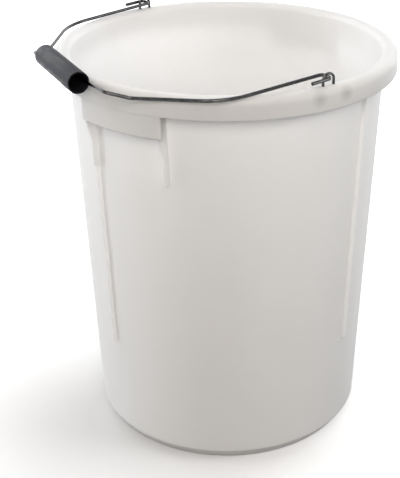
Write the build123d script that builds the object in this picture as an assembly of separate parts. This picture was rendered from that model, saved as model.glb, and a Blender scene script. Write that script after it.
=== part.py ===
from build123d import *
import math
import os

# A plasterer's mixing bucket of about 25 litres, in millimetres. The origin is on the floor under
# the middle of the base, +Z is up, and the bail swings about the X axis and lies towards -Y.

# Bucket wall and base
HEIGHT = 396.0              # floor to the top of the rim
WALL_R_FLOOR = 138.2        # outside of the wall, carried down to the floor
WALL_R_RIM = 153.0          # outside of the wall, carried up to the top of the rim
WALL = 3.0
BASE = 3.5
HEEL_ROUND = 12.4           # outside, where the wall turns into the base
FOOT_RING_WIDTH = 13.8      # flat ring that stands on the floor
FOOT_RING_SLOPE = 3.0       # how far the edge of the raised middle runs in
BASE_LIFT = 2.5             # the middle of the base stands this far off the floor

# Rim: a flange, a rounded bead at its edge and a skirt that hangs from the bead
FLANGE = 3.0
RIM_REACH = 10.2            # from the wall out to the bead's edge
BEAD_ROUND = 3.0
BEAD_DEPTH = 4.2            # rim top down to the step where the skirt begins
RIM_INNER_ROUND = 4.5       # inside, where the wall turns out into the flange
FLANGE_ROOT_ROUND = 1.5     # the same turn, underneath
SKIRT_STEP = 1.3            # the skirt stands this far outside the bead
SKIRT_FLARE = 0.5
SKIRT_DEPTH = 20.0          # rim top down to the skirt's edge
SKIRT_WALL = 2.5
EDGE_ROUND = 0.8            # lower edge of the skirt

# Bends and rounds are made of straight runs
BEND_STEP = 45.0            # degrees that one run turns from the next
BEND_SAG = 0.6              # a run strays no further from the true bend, so a wide bend has more
RUN_MIN = 1.2               # no shorter run, so a tight bend has fewer

# Two tipping handles: the skirt runs down as a panel over a finger pocket, between two gussets
HANDLE_ANGLE = -70.0        # the second handle is opposite
PANEL_DEPTH = 40.5          # rim top down to the panel's edge
PANEL_HALF_WIDTH = 45.0
PANEL_INSET = 0.25          # leaves a line along the skirt's edge
PANEL_WALL = 2.3
PANEL_ROUND = 1.0
GUSSET_OFFSET = 41.2        # from the middle of the handle, sideways
GUSSET_THICK = 2.2
GUSSET_PROUD = 7.5          # off the wall, below the knee
GUSSET_KNEE = 20.5          # panel edge down to the knee
GUSSET_END = 47.5           # panel edge down to the gusset's end
GUSSET_KNEE_ROUND = 12.0
GUSSET_END_ROUND = 4.0

# Four nesting ribs: two below the rim, two that carry one gusset of each handle on down the wall
RIB_ANGLE = 20.0            # the second rim rib is opposite
RIB_PROUD = 4.3
RIB_THICK = 2.0
RIB_FOOT = 113.0            # height of the ribs' lower ends
SINK = 1.0                  # how far moulded features run into the wall they stand on
TOP_SINK = 0.4              # how far they run up into the flange

# Wire staples: legs through the flange, feet clinched below it
STAPLE_WIRE = 2.5
STAPLE_OFFSET = 3.2         # legs outside the wall
STAPLE_SPACING = 11.4       # between the legs' centres
STAPLE_RISE = 11.5          # rim top to the top of the arch
STAPLE_ARCH_ROUND = 5.4
STAPLE_FOOT = 16.0          # from the middle of the staple to the tip of a foot
STAPLE_FOOT_ROUND = 1.6
STAPLE_FOOT_GAP = 0.35      # flange down to where the leg begins to bend
HOLE_CLEARANCE = 0.05

# Bail: one wire, with an open hook at each end and three bends on each side
BAIL_WIRE = 3.2
BAIL_REST_GAP = 0.35        # wire above the rim, where the arms cross it
HOOK_GAP = 0.4              # wire below the staple's arch
HOOK_INSIDE = 8.8           # staple to the arm, along X
HOOK_OUTSIDE = 3.6          # staple to the hook's free leg, along X
HOOK_ROUND = 3.4
HOOK_LEG = 20.5
ARM_TOE_IN = 3.0            # degrees that each arm leans towards the other
SHOULDER_GAP = 0.35         # wire outside the skirt, where the shoulder passes it
SHOULDER_ROUND = 54.0
KINK_ACROSS = 10.7          # from the outer bend to the kink before it, along X
KINK_BACK = 18.0            # the same, along Y
KINK_ROUND = 8.0
GRIP_RUN = 138.6            # straight run between the two outer bends
GRIP_RUN_ROUND = 6.0
GRIP_LIFT = 2.3             # grip run above the rim top, with the bail down

# Grip: a loose tube on the straight run
GRIP_DIAMETER = 20.0
GRIP_WALL = 1.2
GRIP_LENGTH = 84.0
GRIP_SHIFT = -6.7           # the tube has slid this far along X
GRIP_TILT = 6.0             # degrees between the tube and the wire, seen from above
GRIP_DROP = 1.5             # degrees that the tube's +X end hangs down
GRIP_WIRE_GAP = 0.3         # wire to the bore, at the tube's +X end
GRIP_RIM_GAP = 0.4


def wall_r(z):
    """Outer radius of the tapered wall at height z."""
    return WALL_R_FLOOR + (WALL_R_RIM - WALL_R_FLOOR) * z / HEIGHT


# Levels and radii that the pieces share
FOOT_RING_R = WALL_R_FLOOR - HEEL_ROUND - FOOT_RING_WIDTH
FLANGE_Z = HEIGHT - FLANGE
STEP_Z = HEIGHT - BEAD_DEPTH
SKIRT_Z = HEIGHT - SKIRT_DEPTH
PANEL_Z = HEIGHT - PANEL_DEPTH
BEAD_R = WALL_R_RIM + RIM_REACH
SKIRT_TOP_R = BEAD_R + SKIRT_STEP
SKIRT_EDGE_R = SKIRT_TOP_R + SKIRT_FLARE
PANEL_R = SKIRT_EDGE_R - PANEL_INSET
PANEL_INNER_R = PANEL_R - PANEL_WALL
STAPLE_X = WALL_R_RIM + STAPLE_OFFSET
LEG_Y = STAPLE_SPACING / 2
GRIP_BORE = GRIP_DIAMETER - 2 * GRIP_WALL
PIVOT_Z = HEIGHT + STAPLE_RISE - STAPLE_WIRE - HOOK_GAP - BAIL_WIRE / 2


def straight_runs(path):
    """Points along a path, with each arc taken in a few equal steps."""
    points = [path @ 0]
    for edge in path.order_edges():
        steps = 1
        if edge.geom_type == GeomType.CIRCLE:
            turn = math.degrees(edge.length / edge.radius)
            sag_step = math.degrees(2 * math.acos(max(0, 1 - BEND_SAG / edge.radius)))
            steps = max(round(turn / BEND_STEP), math.ceil(turn / sag_step))
            steps = max(1, min(steps, int(edge.length / RUN_MIN)))
        points += [edge @ (i / steps) for i in range(1, steps + 1)]
    return points


def face_of(outline):
    """A face in the XZ plane from (x, z, corner radius) triples."""
    points = [(x, z) for x, z, _ in outline]
    radii = [corner for _, _, corner in outline]
    path = FilletPolyline(*points, radius=radii, close=True)
    return Plane.XZ * make_face(Polyline(*straight_runs(path)))


def swept_wire(points, radii, diameter):
    """A round wire along points, with a bend radius for each corner."""
    path = Polyline(*straight_runs(FilletPolyline(*points, radius=radii)))
    section = Plane(path @ 0, z_dir=path % 0) * Circle(diameter / 2)
    return sweep(section, path=path, transition=Transition.RIGHT)


def make_shell():
    """Wall, base, rim and skirt, turned in one profile with a steady wall."""
    inner_round = HEEL_ROUND - WALL
    outline = [
        (0, BASE_LIFT, 0),
        (FOOT_RING_R - FOOT_RING_SLOPE, BASE_LIFT, 0),
        (FOOT_RING_R, 0, 0),
        (wall_r(0), 0, HEEL_ROUND),
        (wall_r(FLANGE_Z), FLANGE_Z, FLANGE_ROOT_ROUND),
        (SKIRT_TOP_R - SKIRT_WALL, FLANGE_Z, 0),
        (SKIRT_EDGE_R - SKIRT_WALL, SKIRT_Z, 0),
        (SKIRT_EDGE_R, SKIRT_Z, EDGE_ROUND),
        (SKIRT_TOP_R, STEP_Z, 0),
        (BEAD_R, STEP_Z, 0),
        (BEAD_R, HEIGHT, BEAD_ROUND),
        (WALL_R_RIM - WALL, HEIGHT, RIM_INNER_ROUND),
        (wall_r(BASE) - WALL, BASE, inner_round),
        (FOOT_RING_R, BASE, 0),
        (FOOT_RING_R - FOOT_RING_SLOPE, BASE + BASE_LIFT, 0),
        (0, BASE + BASE_LIFT, 0),
    ]
    return revolve(face_of(outline), axis=Axis.Z)


def make_panel():
    """The skirt's extension over one finger pocket, centred on +X."""
    lap = SKIRT_WALL
    outline = [
        (PANEL_INNER_R, SKIRT_Z + lap, 0),
        (PANEL_INNER_R, PANEL_Z, PANEL_ROUND),
        (PANEL_R, PANEL_Z, PANEL_ROUND),
        (PANEL_R, SKIRT_Z + lap, 0),
    ]
    ring = revolve(face_of(outline), axis=Axis.Z)
    slab = Pos(PANEL_R, 0, PANEL_Z) * Box(PANEL_R, 2 * PANEL_HALF_WIDTH, HEIGHT)
    return ring & slab


def make_gusset(offset):
    """An upright web between the wall and the panel, parallel to the handle's middle plane."""
    def wall_u(z):
        return math.sqrt(wall_r(z) ** 2 - offset ** 2)

    knee_z = PANEL_Z - GUSSET_KNEE
    end_z = PANEL_Z - GUSSET_END
    panel_u = math.sqrt((PANEL_INNER_R + PANEL_WALL / 2) ** 2 - offset ** 2)
    outline = [
        (wall_u(end_z) - SINK, end_z, 0),
        (wall_u(end_z) + GUSSET_PROUD, end_z, GUSSET_END_ROUND),
        (wall_u(knee_z) + GUSSET_PROUD, knee_z, GUSSET_KNEE_ROUND),
        (panel_u, PANEL_Z + PANEL_ROUND, 0),
        (panel_u, FLANGE_Z + TOP_SINK, 0),
        (wall_u(FLANGE_Z) - SINK, FLANGE_Z + TOP_SINK, 0),
    ]
    web = extrude(face_of(outline), amount=GUSSET_THICK / 2, both=True)
    return Pos(0, offset, 0) * web


def make_rib(top_z):
    """A nesting rib on the wall at +X, from its square foot up to top_z."""
    outline = [
        (wall_r(RIB_FOOT) - SINK, RIB_FOOT, 0),
        (wall_r(RIB_FOOT) + RIB_PROUD, RIB_FOOT, 0),
        (wall_r(top_z) + RIB_PROUD, top_z, 0),
        (wall_r(top_z) - SINK, top_z, 0),
    ]
    return extrude(face_of(outline), amount=RIB_THICK / 2, both=True)


def make_bucket():
    """The one moulding, with the staples' holes through the flange."""
    gusset_end_z = PANEL_Z - GUSSET_END
    gusset_turn = math.degrees(math.asin(GUSSET_OFFSET / wall_r(gusset_end_z)))
    handle = [make_panel(), make_gusset(-GUSSET_OFFSET), make_gusset(GUSSET_OFFSET)]
    handle.append(Rot(0, 0, -gusset_turn) * make_rib(gusset_end_z + GUSSET_END_ROUND))
    rim_rib = make_rib(FLANGE_Z + TOP_SINK)
    body = make_shell()
    for turn in (0, 180):
        for feature in handle:
            body += Rot(0, 0, HANDLE_ANGLE + turn) * feature
        body += Rot(0, 0, RIB_ANGLE + turn) * rim_rib
    drill = Cylinder(STAPLE_WIRE / 2 + HOLE_CLEARANCE, 2 * FLANGE)
    for x in (STAPLE_X, -STAPLE_X):
        for y in (LEG_Y, -LEG_Y):
            body -= Pos(x, y, HEIGHT - FLANGE / 2) * drill
    return body


def make_staple(x):
    """One staple across the rim at x, its feet turned out along the underside of the flange."""
    top_z = HEIGHT + STAPLE_RISE - STAPLE_WIRE / 2
    foot_z = FLANGE_Z - STAPLE_FOOT_GAP - STAPLE_FOOT_ROUND
    half = [(x, STAPLE_FOOT, foot_z), (x, LEG_Y, foot_z), (x, LEG_Y, top_z)]
    points = half + [(px, -py, pz) for px, py, pz in reversed(half)]
    rounds = [STAPLE_FOOT_ROUND, STAPLE_ARCH_ROUND, STAPLE_ARCH_ROUND, STAPLE_FOOT_ROUND]
    return swept_wire(points, rounds, STAPLE_WIRE)


def grip_frame():
    """Middle of the tube and its axis, with the tube just clear of the bead and the skirt."""
    tilt = math.radians(GRIP_TILT)
    drop = math.radians(GRIP_DROP)
    lift = GRIP_LIFT + GRIP_LENGTH / 2 * math.sin(drop)
    to_bead = GRIP_DIAMETER / 2 + BEAD_ROUND + GRIP_RIM_GAP
    to_skirt = GRIP_DIAMETER / 2 + GRIP_RIM_GAP
    past_bead = math.sqrt(to_bead ** 2 - (lift + BEAD_ROUND) ** 2)
    past_skirt = math.sqrt(max(0, to_skirt ** 2 - (lift + BEAD_DEPTH) ** 2))
    clear_r = max(BEAD_R - BEAD_ROUND + past_bead, SKIRT_TOP_R + past_skirt)
    reach = (clear_r + GRIP_SHIFT * math.sin(tilt)) / math.cos(tilt)
    axis = Vector(math.cos(tilt), -math.sin(tilt), -math.tan(drop)).normalized()
    return Vector(GRIP_SHIFT, -reach, HEIGHT + lift), axis


def bail_points():
    """Corners of the +X half of the bail, from the free leg of the hook to the outer bend."""
    arm_x = STAPLE_X - HOOK_INSIDE
    leg_x = STAPLE_X + HOOK_OUTSIDE
    toe_in = math.tan(math.radians(ARM_TOE_IN))

    # The wire bears on the bore's inner side at the tube's +X end
    middle, axis = grip_frame()
    tube_end = middle + axis * (GRIP_LENGTH / 2)
    wire_offset = (GRIP_BORE - BAIL_WIRE) / 2 - GRIP_WIRE_GAP
    reach = -tube_end.Y - wire_offset
    corner_x = GRIP_RUN / 2
    kink_x = corner_x + KINK_ACROSS
    kink_p = reach - KINK_BACK

    # The shoulder is tangent to a circle round the skirt, and meets the arm at the shoulder bend
    shoulder_r = SKIRT_EDGE_R + BAIL_WIRE / 2 + SHOULDER_GAP
    bearing = math.atan2(kink_p, kink_x) - math.acos(shoulder_r / math.hypot(kink_x, kink_p))
    bend_p = (shoulder_r - arm_x * math.cos(bearing)) / (
        math.sin(bearing) - toe_in * math.cos(bearing)
    )
    bend_x = arm_x - toe_in * bend_p

    # The arm slopes so that it just clears the flat of the rim where it crosses it
    flat_r = BEAD_R - BEAD_ROUND
    cross_p = math.sqrt(flat_r ** 2 - bend_x ** 2)
    slope = (PIVOT_Z - BAIL_WIRE / 2 - BAIL_REST_GAP - HEIGHT) / cross_p
    return [
        (leg_x, -HOOK_LEG, PIVOT_Z - slope * HOOK_LEG),
        (leg_x, 0, PIVOT_Z),
        (arm_x, 0, PIVOT_Z),
        (bend_x, -bend_p, PIVOT_Z - slope * bend_p),
        (kink_x, -kink_p, PIVOT_Z - slope * kink_p),
        (corner_x, -reach, HEIGHT + GRIP_LIFT),
    ]


def make_bail():
    """The bail lying on the rim, both halves and the straight run for the grip."""
    half = bail_points()
    points = half + [(-x, y, z) for x, y, z in reversed(half)]
    rounds = [HOOK_ROUND, HOOK_ROUND, SHOULDER_ROUND, KINK_ROUND, GRIP_RUN_ROUND]
    return swept_wire(points, rounds + rounds[::-1], BAIL_WIRE)


def make_grip():
    """The loose tube, its axis a little askew of the wire."""
    middle, axis = grip_frame()
    tube = Cylinder(GRIP_DIAMETER / 2, GRIP_LENGTH) - Cylinder(GRIP_BORE / 2, GRIP_LENGTH)
    return Plane(middle, z_dir=axis) * tube


pieces = {
    "bucket_body": make_bucket(),
    "staple_right": make_staple(STAPLE_X),
    "staple_left": make_staple(-STAPLE_X),
    "bail_wire": make_bail(),
    "grip_tube": make_grip(),
}

os.makedirs("parts", exist_ok=True)
for name, piece in pieces.items():
    export_step(piece, f"parts/{name}.step")

grip_middle, grip_axis = grip_frame()
print("bail axis through", (0, 0, PIVOT_Z))
print("grip axis through", tuple(grip_middle), "along", tuple(grip_axis))
print("bail corners", [tuple(round(v, 2) for v in point) for point in bail_points()])
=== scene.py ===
import math
import bmesh
import bpy
from mathutils import Matrix, Vector


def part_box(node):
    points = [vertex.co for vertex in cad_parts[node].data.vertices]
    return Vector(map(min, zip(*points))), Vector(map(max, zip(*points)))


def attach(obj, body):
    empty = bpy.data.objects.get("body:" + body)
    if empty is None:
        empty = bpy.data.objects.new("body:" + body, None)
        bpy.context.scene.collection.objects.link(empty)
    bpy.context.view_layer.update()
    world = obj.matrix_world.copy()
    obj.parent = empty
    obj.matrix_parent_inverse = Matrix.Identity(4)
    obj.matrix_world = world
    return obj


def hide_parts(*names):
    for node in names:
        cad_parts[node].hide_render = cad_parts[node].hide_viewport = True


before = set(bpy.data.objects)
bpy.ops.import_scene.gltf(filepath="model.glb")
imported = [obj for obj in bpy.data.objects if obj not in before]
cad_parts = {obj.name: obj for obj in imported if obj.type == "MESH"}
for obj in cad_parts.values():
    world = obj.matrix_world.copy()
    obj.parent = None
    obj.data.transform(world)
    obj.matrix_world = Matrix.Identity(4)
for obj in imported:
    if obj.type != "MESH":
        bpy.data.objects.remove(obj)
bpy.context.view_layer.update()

# Bucket moulding
# One injection moulding in milky polypropylene: a tapered wall on a foot ring, and a flanged rim
# whose skirt turns down. Its outline is turned about Z from a profile with every corner rounded.
mm = 0.001
rim_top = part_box("bucket_body")[1].z
wall_foot_r = 138.2 * mm
wall_top_r = 153.0 * mm
wall = 3.0 * mm
base = 3.5 * mm
base_lift = 2.5 * mm
base_slope = 3.0 * mm
base_under_round = 2.0 * mm
base_inside_round = 3.0 * mm
heel_round = 12.4 * mm
heel_rise = 12.5 * mm
heel_in = 7.5 * mm
heel_foot_round = 7.0 * mm
foot_ring = 13.8 * mm
foot_ring_r = wall_foot_r - heel_round - foot_ring
flange_z = rim_top - 3.0 * mm
skirt_z = rim_top - 20.0 * mm
rim_outer_round = 7.5 * mm
rim_inner_round = 6.5 * mm
flange_root_round = 3.0 * mm
skirt_top_r = 164.5 * mm
skirt_edge_r = 165.0 * mm
skirt_wall = 2.5 * mm
soft_edge = 0.8 * mm
turn_steps = 256
weld_gap = 1e-6


def wall_r(z):
    """Outer radius of the tapered wall at height z."""
    return wall_foot_r + (wall_top_r - wall_foot_r) * z / rim_top


def rounded(corners, closed=False, steps=8):
    """Points along a run of (x, y, z, radius) corners, with each corner turned in an arc."""
    places = [Vector(corner[:3]) for corner in corners]
    points = []
    for i, (place, corner) in enumerate(zip(places, corners)):
        radius = corner[3]
        ends_here = not closed and i in (0, len(corners) - 1)
        if ends_here or radius == 0:
            points.append(place)
            continue
        to_last = (places[i - 1] - place).normalized()
        to_next = (places[(i + 1) % len(places)] - place).normalized()
        half = to_last.angle(to_next) / 2
        middle = place + (to_last + to_next).normalized() * radius / math.sin(half)
        first = place + to_last * radius / math.tan(half) - middle
        last = place + to_next * radius / math.tan(half) - middle
        points += [middle + first.slerp(last, k / steps) * radius for k in range(steps + 1)]
    return points


def line_mesh(name, points):
    """A mesh of edges through points, for a tree to turn or sweep."""
    mesh = bpy.data.meshes.new(name)
    mesh.from_pydata(points, [(i, i + 1) for i in range(len(points) - 1)], [])
    return mesh


def new_tree(name, sockets):
    """An empty Geometry Nodes tree with a geometry way through and the named inputs."""
    tree = bpy.data.node_groups.new(name, "GeometryNodeTree")
    tree.interface.new_socket("Geometry", in_out="INPUT", socket_type="NodeSocketGeometry")
    for label, kind in sockets:
        tree.interface.new_socket(label, in_out="INPUT", socket_type="NodeSocket" + kind)
    tree.interface.new_socket("Geometry", in_out="OUTPUT", socket_type="NodeSocketGeometry")
    return tree


def put(tree, kind, *inputs, **settings):
    """A node with its inputs, in socket order, linked where they are sockets and set otherwise."""
    node = tree.nodes.new(kind)
    for key, value in settings.items():
        setattr(node, key, value)
    sockets = [socket for socket in node.inputs if socket.enabled]
    for socket, value in zip(sockets, inputs):
        for item in value if isinstance(value, list) else [value]:
            if isinstance(item, bpy.types.NodeSocket):
                tree.links.new(item, socket)
            else:
                socket.default_value = item
    return [socket for socket in node.outputs if socket.enabled]


def math_node(tree, operation, *values):
    """One sum on fields or numbers."""
    return put(tree, "ShaderNodeMath", *values, operation=operation)[0]


def end_nodes(tree, shape, material):
    """Ends a tree with a plain mesh in one material."""
    plain = put(tree, "GeometryNodeRealizeInstances", shape)[0]
    finished = put(tree, "GeometryNodeSetMaterial", plain, True, material)[0]
    put(tree, "NodeGroupOutput", finished)


def grow(name, seed, tree, values):
    """An object whose mesh is what the tree makes of the seed mesh."""
    piece = bpy.data.objects.new(name, seed)
    bpy.context.scene.collection.objects.link(piece)
    modifier = piece.modifiers.new(tree.name, "NODES")
    modifier.node_group = tree
    for item in tree.interface.items_tree:
        if item.in_out == "INPUT" and item.name in values:
            modifier[item.identifier] = values[item.name]
    bpy.context.view_layer.update()
    ready = piece.evaluated_get(bpy.context.evaluated_depsgraph_get())
    mesh = bpy.data.meshes.new_from_object(ready)
    piece.modifiers.remove(modifier)
    piece.data = mesh
    if mesh.materials[0] is None:
        mesh.materials.pop(index=0)
    return piece


def turned_nodes(tree, profile, steps):
    """Nodes that turn a profile in the XZ plane about Z into a closed skin."""
    count = put(tree, "GeometryNodeAttributeDomainSize", profile)[0]
    rows = math_node(tree, "ADD", steps, 1)
    grid = put(tree, "GeometryNodeMeshGrid", 1.0, 1.0, count, rows)[0]
    index = put(tree, "GeometryNodeInputIndex")[0]
    along = math_node(tree, "FLOOR", math_node(tree, "DIVIDE", index, rows))
    around = math_node(tree, "MODULO", index, rows)
    angle = math_node(tree, "MULTIPLY", math_node(tree, "DIVIDE", around, steps), math.tau)
    place = put(tree, "GeometryNodeInputPosition")[0]
    point = put(tree, "GeometryNodeSampleIndex", profile, place, along, data_type="FLOAT_VECTOR")[0]
    radius, _, height = put(tree, "ShaderNodeSeparateXYZ", point)
    across = math_node(tree, "MULTIPLY", radius, math_node(tree, "COSINE", angle))
    deep = math_node(tree, "MULTIPLY", radius, math_node(tree, "SINE", angle))
    target = put(tree, "ShaderNodeCombineXYZ", across, deep, height)[0]
    skin = put(tree, "GeometryNodeSetPosition", grid, True, target)[0]
    outward = put(tree, "GeometryNodeFlipFaces", skin, True)[0]
    return put(tree, "GeometryNodeMergeByDistance", outward, True, weld_gap)[0]


def pair_nodes(tree, piece, angle):
    """Nodes that set a piece at an angle about Z and again half a turn on."""
    spots = put(tree, "GeometryNodePoints", 2)[0]
    index = put(tree, "GeometryNodeInputIndex")[0]
    turn = math_node(tree, "ADD", math_node(tree, "MULTIPLY", index, math.pi), angle)
    rotation = put(tree, "ShaderNodeCombineXYZ", 0.0, 0.0, turn)[0]
    placed = put(tree, "GeometryNodeInstanceOnPoints", spots, True, piece, False, 0, rotation)[0]
    return put(tree, "GeometryNodeRealizeInstances", placed)[0]


shell_profile = rounded([
    (0, 0, base_lift, 0),
    (foot_ring_r - base_slope, 0, base_lift, base_under_round),
    (foot_ring_r, 0, 0, soft_edge),
    (wall_r(0) - heel_in, 0, 0, heel_foot_round),
    (wall_r(heel_rise), 0, heel_rise, soft_edge),
    (wall_r(flange_z), 0, flange_z, flange_root_round),
    (skirt_top_r - skirt_wall, 0, flange_z, rim_outer_round - skirt_wall),
    (skirt_edge_r - skirt_wall, 0, skirt_z, soft_edge),
    (skirt_edge_r, 0, skirt_z, soft_edge),
    (skirt_top_r, 0, rim_top, rim_outer_round),
    (wall_top_r - wall, 0, rim_top, rim_inner_round),
    (wall_r(base) - wall, 0, base, heel_round - wall),
    (foot_ring_r, 0, base, base_inside_round),
    (foot_ring_r - base_slope, 0, base + base_lift, base_inside_round),
    (0, 0, base + base_lift, 0),
])

# Tipping handles
# The skirt runs down as a panel over a finger pocket, between two upright gussets. One gusset goes
# on down the wall as a nesting rib. Each handle is moulded in, so it is joined to the shell below.
handle_angle = math.radians(-70.0)
panel_z = rim_top - 40.5 * mm
panel_half_width = 45.0 * mm
panel_r = skirt_edge_r - 0.45 * mm
panel_wall = 2.3 * mm
panel_lap = 2.5 * mm
panel_round = 1.0 * mm
panel_steps = 48
gusset_offset = 41.2 * mm
gusset_thick = 2.2 * mm
gusset_proud = 7.5 * mm
gusset_end_round = 4.0 * mm
gusset_lap = 1.0 * mm
gusset_top_z = rim_top - rim_outer_round - 0.5 * mm
shoulder_r = 161.0 * mm
shoulder_drop = 1.0 * mm
crest_r = 157.0 * mm
knee_z = panel_z - 20.5 * mm
knee_round = 12.0 * mm
gusset_end_z = panel_z - 47.5 * mm
rib_angle = math.radians(20.0)
rib_proud = 4.3 * mm
rib_thick = 2.0 * mm
rib_foot = 113.0 * mm
tail_lap = 4.0 * mm
sink = 1.0 * mm
top_sink = 0.4 * mm
edge_break = 0.45 * mm


def lofted(name, rings):
    """A closed mesh through rings of points, capped at both ends."""
    form = bmesh.new()
    rows = [[form.verts.new(point) for point in ring] for ring in rings]
    count = len(rings[0])
    for low, high in zip(rows, rows[1:]):
        for i in range(count):
            j = (i + 1) % count
            form.faces.new((low[i], low[j], high[j], high[i]))
    form.faces.new(rows[0])
    form.faces.new(rows[-1][::-1])
    bmesh.ops.recalc_face_normals(form, faces=form.faces)
    mesh = bpy.data.meshes.new(name)
    form.to_mesh(mesh)
    form.free()
    return mesh


def web(name, outline, middle, thick):
    """An upright plate of a given outline in XZ, with its edges broken, centred on y = middle."""
    mesh = lofted(name, [
        [Vector((p.x, middle + side * thick / 2, p.z)) for p in outline] for side in (-1, 1)
    ])
    form = bmesh.new()
    form.from_mesh(mesh)
    rims = [e for e in form.edges if abs(e.verts[0].co.y - e.verts[1].co.y) < thick / 2]
    bmesh.ops.bevel(form, geom=rims, offset=edge_break, segments=2, profile=0.5, affect="EDGES")
    form.to_mesh(mesh)
    form.free()
    return mesh


def helper(mesh):
    """A mesh as an object that a tree can take in."""
    piece = bpy.data.objects.new(mesh.name, mesh)
    bpy.context.scene.collection.objects.link(piece)
    return piece


panel_section = rounded([
    (panel_r - panel_wall, 0, skirt_z + panel_lap, 0),
    (panel_r - panel_wall, 0, panel_z, panel_round),
    (panel_r, 0, panel_z, panel_round),
    (panel_r, 0, skirt_z + panel_lap, 0),
], closed=True, steps=5)


def panel_ring(y, inset):
    """The panel's section at a sideways place, drawn in by an inset."""
    middle = panel_r - panel_wall / 2
    draw = 1 - inset / (panel_wall / 2)
    ring = []
    for point in panel_section:
        radius = middle + (point.x - middle) * draw
        lift = inset if point.z < panel_z + panel_wall else 0
        ring.append(Vector((math.sqrt(radius ** 2 - y ** 2), y, point.z + lift)))
    return ring


panel_spots = [panel_half_width * (2 * i / panel_steps - 1) for i in range(panel_steps + 1)]
panel_spots[1] = -panel_half_width + edge_break
panel_spots[-2] = panel_half_width - edge_break
panel = lofted("handle panel", [
    panel_ring(y, edge_break if abs(y) == panel_half_width else 0) for y in panel_spots
])


def at_gusset(radius):
    """How far out a ring of a given radius stands at the gussets' sideways place."""
    return math.sqrt(radius ** 2 - gusset_offset ** 2)


panel_back = at_gusset(panel_r - panel_wall / 2)
gusset_outline = rounded([
    (at_gusset(wall_r(gusset_end_z)) - sink, 0, gusset_end_z, 0),
    (at_gusset(wall_r(gusset_end_z)) + gusset_proud, 0, gusset_end_z, gusset_end_round),
    (at_gusset(wall_r(knee_z)) + gusset_proud, 0, knee_z, knee_round),
    (panel_back, 0, panel_z + gusset_lap, 0),
    (panel_back, 0, gusset_top_z, 0),
    (at_gusset(shoulder_r), 0, flange_z - shoulder_drop, 0),
    (at_gusset(crest_r), 0, flange_z + top_sink, 0),
    (at_gusset(wall_r(flange_z)) - sink, 0, flange_z + top_sink, 0),
], closed=True, steps=5)


def rib_outline(top):
    """A nesting rib's side view, from its foot up to a given height."""
    return [
        Vector((wall_r(rib_foot) - sink, 0, rib_foot)),
        Vector((wall_r(rib_foot) + rib_proud, 0, rib_foot)),
        Vector((wall_r(top) + rib_proud, 0, top)),
        Vector((wall_r(top) - sink, 0, top)),
    ]


tail_rib_angle = handle_angle - math.asin(gusset_offset / wall_r(gusset_end_z))

# Moulding, joined
# Shell, handles, ribs and the staples' holes become one closed skin, as they come out of the mould.
# The milky, satin plastic is given painted shade where it is doubled on the rim, skirt and panels,
# and painted shadows where the staples' feet lie behind the skirt.
moulding_tree = new_tree("bucket moulding", [
    ("Turn steps", "Int"), ("Handle angle", "Float"), ("Rib angle", "Float"),
    ("Tail rib angle", "Float"), ("Panel", "Object"), ("Near gusset", "Object"),
    ("Far gusset", "Object"), ("Tail rib", "Object"), ("Rim rib", "Object"),
    ("Hole", "Object"), ("Plastic", "Material"),
])
(profile_in, steps_in, handle_in, rib_in, tail_in, panel_in, near_in, far_in, tail_rib_in,
 rim_rib_in, hole_in, plastic_in) = put(moulding_tree, "NodeGroupInput")[:12]
joined = [turned_nodes(moulding_tree, profile_in, steps_in)]
for source, angle in ((panel_in, handle_in), (near_in, handle_in), (far_in, handle_in),
                      (tail_rib_in, tail_in), (rim_rib_in, rib_in)):
    shape = put(moulding_tree, "GeometryNodeObjectInfo", source, False)[-1]
    joined.append(pair_nodes(moulding_tree, shape, angle))
union = put(moulding_tree, "GeometryNodeMeshBoolean", joined,
            operation="UNION", solver="MANIFOLD")[0]
hole_shape = put(moulding_tree, "GeometryNodeObjectInfo", hole_in, False)[-1]
holes = pair_nodes(moulding_tree, hole_shape, 0.0)
drilled = put(moulding_tree, "GeometryNodeMeshBoolean", union, holes,
              operation="DIFFERENCE", solver="MANIFOLD")[0]
end_nodes(moulding_tree, drilled, plastic_in)

milky_dark = (0.918, 0.91, 0.9)
milky_light = (0.942, 0.938, 0.932)
milky_rough = (0.5, 0.64)
milky_grain = 0.08 * mm
noise_range = (0.3, 0.7)
# Painted shade: the base colour falls to this share on the outer rim, skirt and panels, for the
# light the doubled wall holds back
doubled_shade_share = 0.84
doubled_shade_from_r = 158.0 * mm
doubled_shade_full_r = 163.0 * mm
# Painted shadows of the staples' clinched feet behind the skirt: soft dark spots about this place,
# mirrored to all four feet
staple_foot_shadow = (164.2 * mm, 14.5 * mm, rim_top - 8.0 * mm)
staple_foot_shadow_share = 0.78
staple_foot_shadow_core = 1.0 * mm
staple_foot_shadow_reach = 9.0 * mm


def new_material(name):
    """A node material with its tree and its main shader."""
    material = bpy.data.materials.new(name)
    material.use_nodes = True
    shader = material.node_tree.nodes["Principled BSDF"]
    return material, material.node_tree, shader


def object_place(tree):
    """The place on the piece, in metres in the shared frame."""
    return tree.nodes.new("ShaderNodeTexCoord").outputs["Object"]


def object_noise(tree, scale, detail, stretch=(1, 1, 1)):
    """A noise pattern fixed to the piece, with its size given in repeats to a metre."""
    mapped = put(tree, "ShaderNodeMapping", object_place(tree))[0]
    mapped.node.inputs["Scale"].default_value = stretch
    noise = tree.nodes.new("ShaderNodeTexNoise")
    noise.inputs["Scale"].default_value = scale
    noise.inputs["Detail"].default_value = detail
    tree.links.new(mapped, noise.inputs["Vector"])
    return noise.outputs["Fac"]


def remap(tree, value, old, new=(0.0, 1.0)):
    """A number taken from one range to another, and held there."""
    return put(tree, "ShaderNodeMapRange", value, *old, *new)[0]


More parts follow.
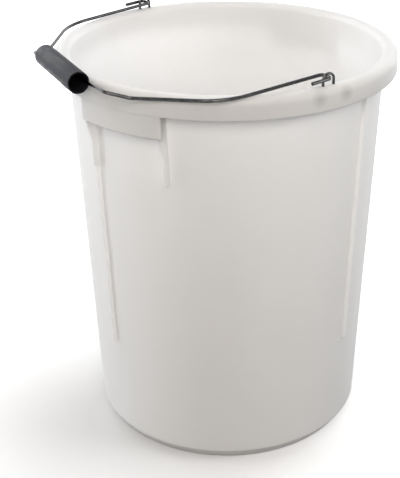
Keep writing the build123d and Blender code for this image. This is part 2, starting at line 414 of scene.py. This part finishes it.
def tint(tree, noise, dark, light):
    """A colour between two, by a noise."""
    ramp = tree.nodes.new("ShaderNodeValToRGB")
    for stop, colour, position in zip(ramp.color_ramp.elements, (dark, light), noise_range):
        stop.color = (*colour, 1)
        stop.position = position
    tree.links.new(noise, ramp.inputs["Fac"])
    return ramp.outputs["Color"]


def painted(tree, name):
    """A number that is written on the piece's own points."""
    return put(tree, "ShaderNodeAttribute", attribute_name=name)[2]


def bumped(tree, shader, height, depth):
    """Gives a shader a fine relief of a depth in metres."""
    bump = tree.nodes.new("ShaderNodeBump")
    bump.inputs["Distance"].default_value = depth
    tree.links.new(height, bump.inputs["Height"])
    tree.links.new(bump.outputs["Normal"], shader.inputs["Normal"])


milky, milky_tree, milky_shader = new_material("milky polypropylene")
flow = object_noise(milky_tree, scale=14, detail=4, stretch=(1, 1, 0.35))
mottle = tint(milky_tree, flow, milky_dark, milky_light)
# Painted shade on the doubled rim, skirt and panels, read from the painted 'thick' number
doubled_shade_tone = remap(milky_tree, painted(milky_tree, "thick"), (0.0, 1.0), (1.0, doubled_shade_share))
# Painted shadows: darker spots on the skirt around each staple foot
quarter = put(milky_tree, "ShaderNodeVectorMath", object_place(milky_tree), operation="ABSOLUTE")[0]
foot_gap = put(milky_tree, "ShaderNodeVectorMath", quarter, staple_foot_shadow, operation="DISTANCE")[0]
staple_foot_shadow_tone = remap(milky_tree, foot_gap, (staple_foot_shadow_core, staple_foot_shadow_reach), (staple_foot_shadow_share, 1.0))
milky_painted_shade = math_node(milky_tree, "MULTIPLY", doubled_shade_tone, staple_foot_shadow_tone)
shaded = put(milky_tree, "ShaderNodeVectorMath", mottle, milky_painted_shade, operation="SCALE")[0]
milky_tree.links.new(shaded, milky_shader.inputs["Base Color"])
satin = object_noise(milky_tree, scale=60, detail=5)
milky_tree.links.new(remap(milky_tree, satin, noise_range, milky_rough),
                     milky_shader.inputs["Roughness"])
bumped(milky_tree, milky_shader, object_noise(milky_tree, scale=900, detail=3), milky_grain)
milky_shader.inputs["IOR"].default_value = 1.49
milky_shader.inputs["Specular IOR Level"].default_value = 0.2
milky_shader.inputs["Subsurface Weight"].default_value = 1.0
milky_shader.inputs["Subsurface Radius"].default_value = (0.97, 0.98, 1.0)
milky_shader.inputs["Subsurface Scale"].default_value = 6.0 * mm

hole_r = 1.45 * mm
hole_depth = 8.0 * mm
round_sides = 24
staple_x = wall_top_r + 3.2 * mm
leg_y = 5.7 * mm
hole_form = bmesh.new()
for y in (-leg_y, leg_y):
    bmesh.ops.create_cone(hole_form, cap_ends=True, segments=round_sides, radius1=hole_r,
                          radius2=hole_r, depth=hole_depth,
                          matrix=Matrix.Translation((staple_x, y, rim_top)))
hole_mesh = bpy.data.meshes.new("staple holes")
hole_form.to_mesh(hole_mesh)
hole_form.free()

helpers = {
    "Panel": helper(panel),
    "Near gusset": helper(web("near gusset", gusset_outline, gusset_offset, gusset_thick)),
    "Far gusset": helper(web("far gusset", gusset_outline, -gusset_offset, gusset_thick)),
    "Tail rib": helper(web("tail rib", rib_outline(gusset_end_z + tail_lap), 0, rib_thick)),
    "Rim rib": helper(web("rim rib", rib_outline(flange_z + top_sink), 0, rib_thick)),
    "Hole": helper(hole_mesh),
}
bucket = grow("bucket", line_mesh("bucket profile", shell_profile), moulding_tree, {
    "Turn steps": turn_steps, "Handle angle": handle_angle, "Rib angle": rib_angle,
    "Tail rib angle": tail_rib_angle, "Plastic": milky, **helpers,
})
for piece in helpers.values():
    bpy.data.objects.remove(piece)


def paint(piece, name, value_at):
    """Writes a number on each of a piece's points, for its material to read."""
    marks = piece.data.attributes.new(name, "FLOAT", "POINT")
    for vertex in piece.data.vertices:
        marks.data[vertex.index].value = value_at(vertex.co)


def painted_doubled_shade(point):
    """The share of painted shade, from nought on the plain wall to one on the skirt and panels."""
    share = (point.xy.length - doubled_shade_from_r) / (doubled_shade_full_r - doubled_shade_from_r)
    return min(1.0, max(0.0, share))


def smooth(piece, sharp_angle):
    """Rounds a piece's shading, but not across edges sharper than an angle in degrees."""
    piece.data.shade_smooth()
    piece.data.set_sharp_from_angle(angle=math.radians(sharp_angle))


# The 'thick' number sets where the doubled plastic takes painted shade
paint(bucket, "thick", painted_doubled_shade)
smooth(bucket, sharp_angle=35)
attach(bucket, "bucket")
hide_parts("bucket_body")

# Staples
# Two bent wire staples, pushed down through the rim flange and clinched outwards below it, make the
# ears that the bail hooks into. They are smooth plated steel wire, coloured far darker than plated
# steel as a painted reflection of a dark room, so that only its highlights are bright.
staple_wire = 2.5 * mm
leg_round = 1.6 * mm
arch_round = 5.4 * mm
arch_top = rim_top + 11.5 * mm - staple_wire / 2
foot_z = flange_z - 1.95 * mm
foot_reach = 16.0 * mm
# Painted reflection: the wire's colour is kept near black, darker than plated steel, for the dark
# room it would mirror
wire_painted_dark = (0.03, 0.03, 0.031)
wire_painted_light = (0.075, 0.075, 0.077)
zinc_rough = (0.08, 0.16)
zinc_relief = 0.02 * mm
staple_half = [
    (staple_x, foot_reach, foot_z, 0),
    (staple_x, leg_y, foot_z, leg_round),
    (staple_x, leg_y, arch_top, arch_round),
]
staple_path = rounded(staple_half + [(x, -y, z, r) for x, y, z, r in staple_half[::-1]], steps=10)

zinc, zinc_tree, zinc_shader = new_material("zinc wire")
zinc_grain = object_noise(zinc_tree, scale=260, detail=4)
zinc_tree.links.new(tint(zinc_tree, zinc_grain, wire_painted_dark, wire_painted_light),
                    zinc_shader.inputs["Base Color"])
zinc_tree.links.new(remap(zinc_tree, zinc_grain, noise_range, zinc_rough),
                    zinc_shader.inputs["Roughness"])
bumped(zinc_tree, zinc_shader, object_noise(zinc_tree, scale=700, detail=3), zinc_relief)
zinc_shader.inputs["Metallic"].default_value = 1.0


def swept_nodes(tree, path, diameter):
    """Nodes that draw a round wire along a path, with closed ends."""
    curve = put(tree, "GeometryNodeMeshToCurve", path, True)[0]
    radius = math_node(tree, "MULTIPLY", diameter, 0.5)
    circle = put(tree, "GeometryNodeCurvePrimitiveCircle", round_sides, mode="RADIUS")[0]
    tree.links.new(radius, circle.node.inputs["Radius"])
    swept = tree.nodes.new("GeometryNodeCurveToMesh")
    tree.links.new(curve, swept.inputs["Curve"])
    tree.links.new(circle, swept.inputs["Profile Curve"])
    swept.inputs["Fill Caps"].default_value = True
    return swept.outputs["Mesh"]


staple_tree = new_tree("staple pair", [("Diameter", "Float"), ("Metal", "Material")])
path_in, diameter_in, metal_in = put(staple_tree, "NodeGroupInput")[:3]
both = pair_nodes(staple_tree, swept_nodes(staple_tree, path_in, diameter_in), 0.0)
end_nodes(staple_tree, both, metal_in)
staples = grow("staples", line_mesh("staple path", staple_path), staple_tree,
               {"Diameter": staple_wire, "Metal": zinc})
smooth(staples, sharp_angle=50)
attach(staples, "bucket")
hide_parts("staple_right", "staple_left")

# Bail
# One length of the same wire, thicker, with an open hook bent at each end, an arm along the rim on
# each side, and three bends that bring it out to the straight run for the grip.
bail_wire = 3.2 * mm
pivot_z = rim_top + 7.0 * mm
hook_x = staple_x + 3.6 * mm
hook_round = 3.4 * mm
# Each corner is its place and the radius that the wire is bent to
toe = (hook_x, -20.5 * mm, pivot_z - 1.4 * mm, 0)
hook_outside = (hook_x, 0, pivot_z, hook_round)
hook_inside = (staple_x - 8.8 * mm, 0, pivot_z, hook_round)
arm_bend = (142.3 * mm, -97.5 * mm, pivot_z - 6.7 * mm, 54.0 * mm)
shoulder_bend = (80.0 * mm, -151.7 * mm, rim_top - 3.4 * mm, 8.0 * mm)
grip_bend = (69.3 * mm, -169.7 * mm, rim_top + 2.3 * mm, 6.0 * mm)
bail_half = [toe, hook_outside, hook_inside, arm_bend, shoulder_bend, grip_bend]
bail_path = rounded(bail_half + [(-x, y, z, r) for x, y, z, r in bail_half[::-1]], steps=12)
bail_tree = new_tree("bail wire", [("Diameter", "Float"), ("Metal", "Material")])
path_in, diameter_in, metal_in = put(bail_tree, "NodeGroupInput")[:3]
end_nodes(bail_tree, swept_nodes(bail_tree, path_in, diameter_in), metal_in)
bail = grow("bail", line_mesh("bail path", bail_path), bail_tree,
            {"Diameter": bail_wire, "Metal": zinc})
smooth(bail, sharp_angle=50)
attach(bail, "bail")
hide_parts("bail_wire")

# Grip
# A loose length of black plastic tube, cut square with its edges just broken. It has slid along the
# wire and sits a little askew on it. It is scuffed outside, and blacker in its bore.
grip_r = 10.0 * mm
grip_bore_r = 8.8 * mm
grip_half = 42.0 * mm
grip_steps = 96
outer_break = 0.5 * mm
bore_break = 0.35 * mm
bore_margin = 0.2 * mm
grip_low, grip_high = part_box("grip_tube")
grip_middle = (grip_low + grip_high) / 2
grip_tilt = math.radians(-6.0)
grip_drop = math.radians(1.5)
tube_black = (0.003, 0.003, 0.005)
scuff_grey = (0.026, 0.028, 0.038)
scuff_range = (0.4, 0.62)
tube_rough = (0.40, 0.55)
bore_rough = 0.4
draw_depth = 0.06 * mm
grip_profile = rounded([
    (grip_bore_r, 0, -grip_half, bore_break),
    (grip_r, 0, -grip_half, outer_break),
    (grip_r, 0, grip_half, outer_break),
    (grip_bore_r, 0, grip_half, bore_break),
], closed=True, steps=5)
grip_profile.append(grip_profile[0])

black, black_tree, black_shader = new_material("black tube plastic")
drawn_lines = object_noise(black_tree, scale=900, detail=3, stretch=(0.06, 1, 1))
wear = object_noise(black_tree, scale=220, detail=6, stretch=(0.4, 1, 1))
scuffs = remap(black_tree, wear, scuff_range)
in_bore = painted(black_tree, "bore")
worn = math_node(black_tree, "MULTIPLY", scuffs, math_node(black_tree, "SUBTRACT", 1.0, in_bore))
black_tree.links.new(tint(black_tree, worn, tube_black, scuff_grey),
                     black_shader.inputs["Base Color"])
outer_rough = remap(black_tree, scuffs, noise_range, tube_rough)
added_rough = math_node(black_tree, "MULTIPLY", in_bore, bore_rough)
black_tree.links.new(math_node(black_tree, "ADD", outer_rough, added_rough),
                     black_shader.inputs["Roughness"])
bumped(black_tree, black_shader, drawn_lines, draw_depth)
black_shader.inputs["Specular IOR Level"].default_value = 0.12

grip_tree = new_tree("grip tube", [("Turn steps", "Int"), ("Plastic", "Material")])
profile_in, steps_in, plastic_in = put(grip_tree, "NodeGroupInput")[:3]
end_nodes(grip_tree, turned_nodes(grip_tree, profile_in, steps_in), plastic_in)
grip = grow("grip", line_mesh("grip profile", grip_profile), grip_tree,
            {"Turn steps": grip_steps, "Plastic": black})


def bore(point):
    """One on the bore, and nought outside and at the cut ends."""
    near_axis = point.xy.length < (grip_bore_r + grip_r) / 2
    return float(near_axis and abs(point.z) < grip_half - bore_margin)


paint(grip, "bore", bore)
grip.data.transform(Matrix.Translation(grip_middle) @ Matrix.Rotation(grip_tilt, 4, "Z")
                    @ Matrix.Rotation(math.radians(90) + grip_drop, 4, "Y"))
smooth(grip, sharp_angle=40)
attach(grip, "grip")
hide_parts("grip_tube")

# Studio
# A pale floor in a white room, a large warm lamp in front, seven weaker ones round the bucket, and
# the photograph's point of view. The floor's glow is least at a spot beside the bucket's foot and
# grows away from it, a painted shadow there on top of the lamps' own.
floor_half = 6.0
floor_white = 0.7
floor_bounce = 0.18
# Middle and reach of the painted shadow: the floor glows less near this spot
painted_shadow_middle = (-0.014, -0.111, 0)
painted_shadow_range = (0.05, 0.5)
photo_turn = 56.0
photo_tilt = 63.18
photo_roll = -0.32
photo_place = (0.8356, -0.5634, 0.6925)
lamp_aim = Vector((0, 0, 0.2))
warm = (1.0, 0.935, 0.87)
cool = (0.97, 0.985, 1.0)
plain = (1.0, 1.0, 1.0)


def seen_rays(tree):
    """One for a ray from the camera, a reflection or glass, and nought for other light."""
    path = tree.nodes.new("ShaderNodeLightPath").outputs
    either = math_node(tree, "MAXIMUM", path["Is Camera Ray"], path["Is Glossy Ray"])
    return math_node(tree, "MAXIMUM", either, path["Is Transmission Ray"])


paper, paper_tree, paper_shader = new_material("white paper floor")
seen = seen_rays(paper_tree)
paper_tone = remap(paper_tree, seen, (0.0, 1.0), (floor_bounce, floor_white))
paper_tree.links.new(paper_tone, paper_shader.inputs["Base Color"])
# Painted shadow: the floor's glow is dimmed near a spot beside the bucket's foot
far = put(paper_tree, "ShaderNodeVectorMath", object_place(paper_tree), painted_shadow_middle,
          operation="DISTANCE")[0]
painted_floor_glow = math_node(paper_tree, "MULTIPLY", seen, remap(paper_tree, far, painted_shadow_range))
paper_tree.links.new(painted_floor_glow, paper_shader.inputs["Emission Strength"])
paper_shader.inputs["Emission Color"].default_value = (1, 1, 1, 1)
paper_shader.inputs["Roughness"].default_value = 0.9
floor_mesh = bpy.data.meshes.new("floor")
floor_mesh.from_pydata([(-floor_half, -floor_half, 0), (floor_half, -floor_half, 0),
                        (floor_half, floor_half, 0), (-floor_half, floor_half, 0)],
                       [], [(0, 1, 2, 3)])
floor_mesh.materials.append(paper)
floor = bpy.data.objects.new("floor", floor_mesh)
bpy.context.scene.collection.objects.link(floor)

world = bpy.data.worlds.new("white room")
bpy.context.scene.world = world
world.use_nodes = True
room = world.node_tree.nodes["Background"]
room.inputs["Color"].default_value = (1, 1, 1, 1)
world.node_tree.links.new(seen_rays(world.node_tree), room.inputs["Strength"])


def soft_box(name, bearing, height, distance, size, power, colour):
    """A square area light on a bearing from the photograph's right, aimed at the bucket."""
    lamp = bpy.data.lights.new(name, "AREA")
    lamp.size = size
    lamp.energy = power
    lamp.color = colour
    box = bpy.data.objects.new(name, lamp)
    turn = math.radians(photo_turn + bearing)
    box.location = (distance * math.cos(turn), distance * math.sin(turn), height)
    box.rotation_euler = (lamp_aim - box.location).to_track_quat("-Z", "Y").to_euler()
    bpy.context.scene.collection.objects.link(box)


soft_box("front panel", -95, 1.55, 1.9, 1.4, 32, warm)
soft_box("left panel", 165, 0.9, 1.6, 1.4, 11, cool)
soft_box("low left panel", 180, 0.5, 1.8, 0.9, 9, cool)
soft_box("back left panel", 130, 1.1, 1.6, 1.4, 13, cool)
soft_box("back right panel", 50, 1.1, 1.6, 1.4, 13, cool)
soft_box("low back right panel", 45, 0.5, 1.8, 0.9, 7, cool)
soft_box("right panel", -15, 0.9, 1.6, 0.6, 9, plain)
soft_box("overhead panel", 90, 2.0, 0.2, 1.4, 4, cool)

lens = bpy.data.cameras.new("camera")
lens.sensor_width = 36
lens.lens = 80.6
lens.shift_x = -0.0575
camera = bpy.data.objects.new("camera", lens)
camera.location = photo_place
camera.rotation_euler = (Matrix.Rotation(math.radians(photo_turn), 3, "Z")
                         @ Matrix.Rotation(math.radians(photo_tilt), 3, "X")
                         @ Matrix.Rotation(math.radians(photo_roll), 3, "Z")).to_euler()
bpy.context.scene.collection.objects.link(camera)
bpy.context.scene.camera = camera
bpy.context.scene.view_settings.view_transform = "Standard"
